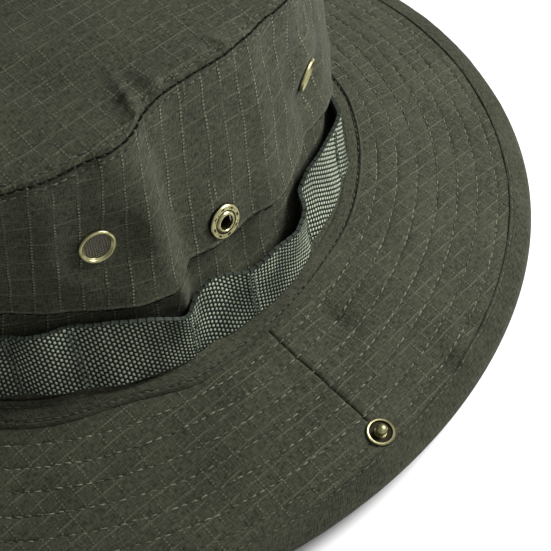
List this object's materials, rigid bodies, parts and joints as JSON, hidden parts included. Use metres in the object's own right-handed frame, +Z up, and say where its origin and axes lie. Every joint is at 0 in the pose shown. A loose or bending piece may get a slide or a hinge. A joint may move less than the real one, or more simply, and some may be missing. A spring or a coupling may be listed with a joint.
{
  "type": "boonie hat",
  "caption": "Soft wide-brim field hat with an oval crown, a band of webbing loops, mesh vents, and brim sides that fold up and snap to the crown.",
  "frame": {"origin": "on the floor below the middle of the hat, which rests on the front and back of its brim", "axes": "+Z up through the crown, -Y towards the front of the hat, +X towards the wearer's left"},
  "size_m": [0.3114, 0.343, 0.1182],
  "materials": {
    "ripstop": "olive cotton ripstop, matt",
    "edge_binding": "olive cotton ripstop, folded over the edge",
    "webbing": "woven nylon webbing, slight sheen",
    "inner_cloth": "plain olive cotton tape",
    "stiffener": "non-woven interlining",
    "antique_brass": "antique brass plate, worn on its edges",
    "back_brass": "antique brass plate, dull",
    "vent_screen": "fine woven wire",
    "spring_steel": "drawn wire"
  },
  "bodies": {
    "root": {"base_strip": "ripstop", "branch_loop_webbing": "webbing", "brim_binding_back": "edge_binding", "brim_binding_front": "edge_binding", "brim_lining_back": "ripstop", "brim_lining_front": "ripstop", "brim_stiffener_centre": "stiffener", "brim_upper_back": "ripstop", "brim_upper_front": "ripstop", "crown_lower_band": "ripstop", "crown_seam_tape": "inner_cloth", "crown_side_panel": "ripstop", "crown_top": "ripstop", "left_back_vent_mesh": "vent_screen", "left_back_vent_rim": "antique_brass", "left_back_vent_washer": "back_brass", "left_front_vent_mesh": "vent_screen", "left_front_vent_rim": "antique_brass", "left_front_vent_washer": "back_brass", "left_snap_socket": "antique_brass", "left_socket_cap": "back_brass", "left_socket_spring": "spring_steel", "right_back_vent_mesh": "vent_screen", "right_back_vent_rim": "antique_brass", "right_back_vent_washer": "back_brass", "right_front_vent_mesh": "vent_screen", "right_front_vent_rim": "antique_brass", "right_front_vent_washer": "back_brass", "right_snap_socket": "antique_brass", "right_socket_cap": "back_brass", "right_socket_spring": "spring_steel", "sweatband": "inner_cloth"},
    "left_flap": {"brim_binding_left_flap": "edge_binding", "brim_lining_left_flap_back": "ripstop", "brim_lining_left_flap_front": "ripstop", "brim_stiffener_left_flap": "stiffener", "brim_upper_left_flap_back": "ripstop", "brim_upper_left_flap_front": "ripstop", "left_snap_stud": "antique_brass", "left_stud_cap": "back_brass"},
    "right_flap": {"brim_binding_right_flap": "edge_binding", "brim_lining_right_flap_back": "ripstop", "brim_lining_right_flap_front": "ripstop", "brim_stiffener_right_flap": "stiffener", "brim_upper_right_flap_back": "ripstop", "brim_upper_right_flap_front": "ripstop", "right_snap_stud": "antique_brass", "right_stud_cap": "back_brass"}
  },
  "joints": [
    {"name": "left_flap_fold", "type": "hinge", "parent": "root", "child": "left_flap", "pos_m": [0.095, 0, 0.02047], "axis": [0, -1, 0], "range_deg": [0, 121]},
    {"name": "right_flap_fold", "type": "hinge", "parent": "root", "child": "right_flap", "pos_m": [-0.095, 0, 0.02047], "axis": [0, 1, 0], "range_deg": [0, 121]}
  ]
}
